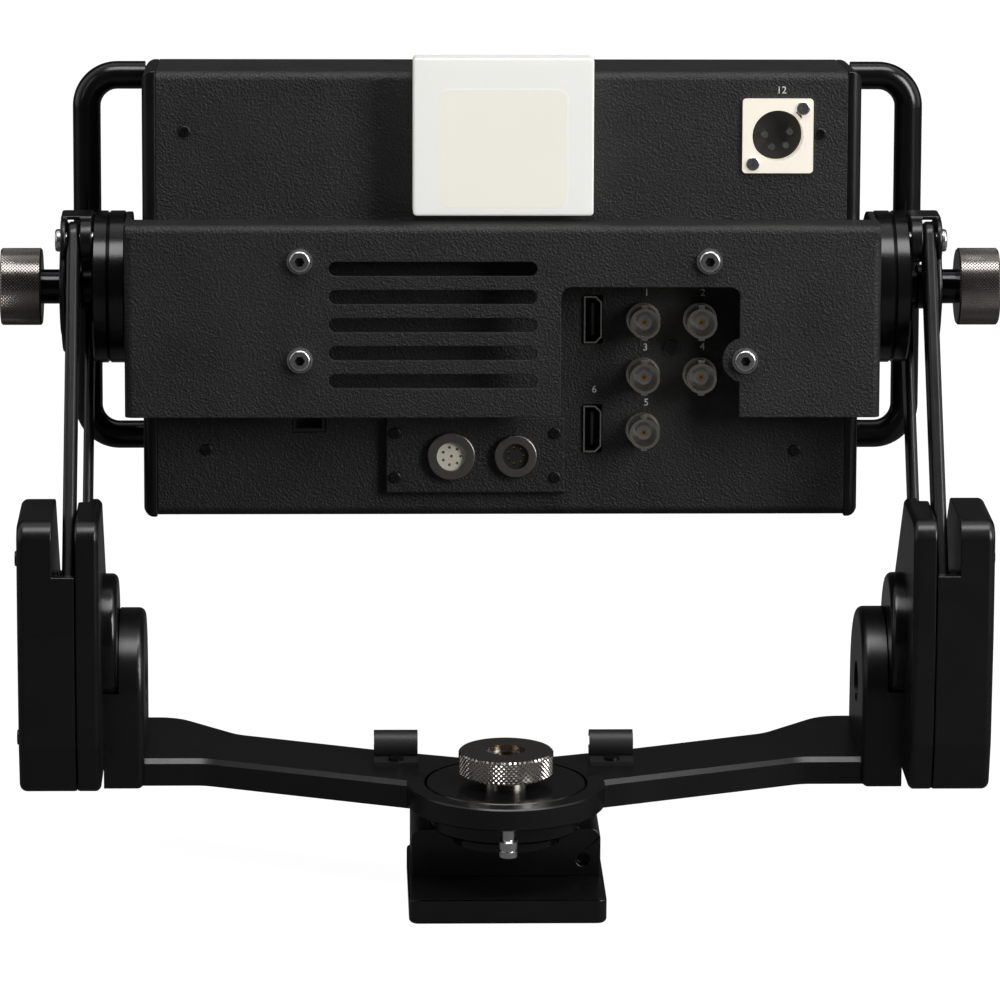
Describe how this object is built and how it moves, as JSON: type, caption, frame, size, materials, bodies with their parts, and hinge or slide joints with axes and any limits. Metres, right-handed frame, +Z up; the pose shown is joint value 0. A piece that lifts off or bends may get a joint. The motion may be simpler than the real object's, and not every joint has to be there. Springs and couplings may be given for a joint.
{
  "type": "studio camera viewfinder",
  "caption": "Studio camera viewfinder: boxed screen with handles and rear sockets, tilting in a yoke on parallel lift links above a panning crossbar and shoe.",
  "frame": {"origin": "on the pan axis, on the underside of the shoe plate", "axes": "+X to the right seen from the connector side, +Y towards the operator, +Z up"},
  "size_m": [0.3188, 0.1543, 0.2547],
  "materials": {
    "powder_black": "fine texture powder coat",
    "anodised_black": "satin black anodised",
    "steel": "bright steel",
    "black_steel": "blackened screws",
    "nickel": "nickel plate",
    "dark_nickel": "dark nickel plate, knurled",
    "gold": "gold plate",
    "milky_plastic": "translucent white",
    "warm_white": "translucent warm white",
    "black_plastic": "moulded",
    "clear_glass": "clear, anti-glare",
    "screen": "dark liquid crystal panel",
    "board_green": "circuit board"
  },
  "bodies": {
    "base": {"shoe_plate": "anodised_black", "shoe_block": "anodised_black", "shoe_screws": "black_steel", "pan_post": "anodised_black", "post_bolt": "steel", "clamp_plate": "anodised_black"},
    "pan_lock": {"pan_lock_knob": "nickel"},
    "turret": {"crossbar": "anodised_black", "stop_pin": "steel", "cable_clips": "black_plastic", "turret_screws": "black_steel", "housing_outer_left": "anodised_black", "housing_outer_right": "anodised_black", "housing_inner_left": "anodised_black", "housing_inner_right": "anodised_black", "pivot_discs": "anodised_black", "lug_bolts": "black_steel", "lower_pivot_pins": "steel"},
    "rear_link_pair": {"rear_links": "anodised_black"},
    "front_link_pair": {"front_links": "anodised_black"},
    "heads": {"head_left": "anodised_black", "head_right": "anodised_black", "head_covers": "anodised_black", "upper_pivot_pins": "steel", "outer_friction_discs": "anodised_black"},
    "display": {"inner_friction_discs": "anodised_black", "tilt_studs": "steel", "rear_bracket": "powder_black", "bracket_screws": "steel", "bracket_spacers": "steel", "rear_cover": "powder_black", "end_plate_left": "anodised_black", "end_plate_right": "anodised_black", "front_bezel": "powder_black", "handle_left": "anodised_black", "handle_right": "anodised_black", "lcd_panel": "screen", "front_glass": "clear_glass", "main_board": "board_green", "control_board": "board_green", "tally_lens": "milky_plastic", "tally_diffuser": "warm_white", "power_socket": "nickel", "contact_pins": "gold", "digital_sockets": "nickel", "coax_sockets": "nickel", "coax_cores": "nickel", "sub_panel": "powder_black", "round_sockets": "dark_nickel", "socket_inserts": "black_plastic", "service_socket": "black_plastic", "case_screws": "black_steel"},
    "tilt_lock_left": {"tilt_knob_left": "dark_nickel"},
    "tilt_lock_right": {"tilt_knob_right": "dark_nickel"},
    "dial_one": {"dial_1": "black_plastic"},
    "dial_two": {"dial_2": "black_plastic"},
    "dial_three": {"dial_3": "black_plastic"},
    "button_one": {"button_1": "black_plastic"},
    "button_two": {"button_2": "black_plastic"},
    "button_three": {"button_3": "black_plastic"}
  },
  "joints": [
    {"name": "pan", "type": "hinge", "parent": "base", "child": "turret", "pos_m": [0, 0, 0.0302], "axis": [0, 0, 1], "range_deg": [-70, 70]},
    {"name": "pan_lock_turn", "type": "hinge", "parent": "base", "child": "pan_lock", "pos_m": [0, 0, 0.04], "axis": [0, 0, 1], "range_deg": [0, 120]},
    {"name": "lift", "type": "hinge", "parent": "turret", "child": "rear_link_pair", "pos_m": [0, 0.01, 0.0968], "axis": [1, 0, 0], "range_deg": [-30, 17.5]},
    {"name": "front_link_turn", "type": "hinge", "parent": "turret", "child": "front_link_pair", "pos_m": [0, 0.037, 0.0742], "axis": [1, 0, 0], "range_deg": [-30.5, 18]},
    {"name": "head_level", "type": "hinge", "parent": "rear_link_pair", "child": "heads", "pos_m": [0, 0.072, 0.1948], "axis": [1, 0, 0], "range_deg": [-18, 30.5]},
    {"name": "tilt", "type": "hinge", "parent": "heads", "child": "display", "pos_m": [0, 0.084, 0.1775], "axis": [1, 0, 0], "range_deg": [-8, 30]},
    {"name": "tilt_lock_right_turn", "type": "hinge", "parent": "display", "child": "tilt_lock_right", "pos_m": [0.15, 0.084, 0.1775], "axis": [1, 0, 0], "range_deg": [0, 120]},
    {"name": "tilt_lock_left_turn", "type": "hinge", "parent": "display", "child": "tilt_lock_left", "pos_m": [-0.15, 0.084, 0.1775], "axis": [-1, 0, 0], "range_deg": [0, 120]},
    {"name": "dial_one_turn", "type": "hinge", "parent": "display", "child": "dial_one", "pos_m": [-0.06, 0.1138, 0.11647], "axis": [0, 0.9969, -0.0785], "range_deg": [-140, 140]},
    {"name": "dial_two_turn", "type": "hinge", "parent": "display", "child": "dial_two", "pos_m": [-0.078, 0.1138, 0.11647], "axis": [0, 0.9969, -0.0785], "range_deg": [-140, 140]},
    {"name": "dial_three_turn", "type": "hinge", "parent": "display", "child": "dial_three", "pos_m": [-0.096, 0.1138, 0.11647], "axis": [0, 0.9969, -0.0785], "range_deg": [-140, 140]},
    {"name": "button_one_press", "type": "slide", "parent": "display", "child": "button_one", "axis": [0, -0.9969, 0.0785], "range_m": [0, 0.0012], "stiffness_N_per_m": 600, "springref_m": -0.0006},
    {"name": "button_two_press", "type": "slide", "parent": "display", "child": "button_two", "axis": [0, -0.9969, 0.0785], "range_m": [0, 0.0012], "stiffness_N_per_m": 600, "springref_m": -0.0006},
    {"name": "button_three_press", "type": "slide", "parent": "display", "child": "button_three", "axis": [0, -0.9969, 0.0785], "range_m": [0, 0.0012], "stiffness_N_per_m": 600, "springref_m": -0.0006}
  ],
  "couplings": [
    {"joint": "front_link_turn", "follows": "lift", "ratio": 1},
    {"joint": "head_level", "follows": "lift", "ratio": -1}
  ]
}
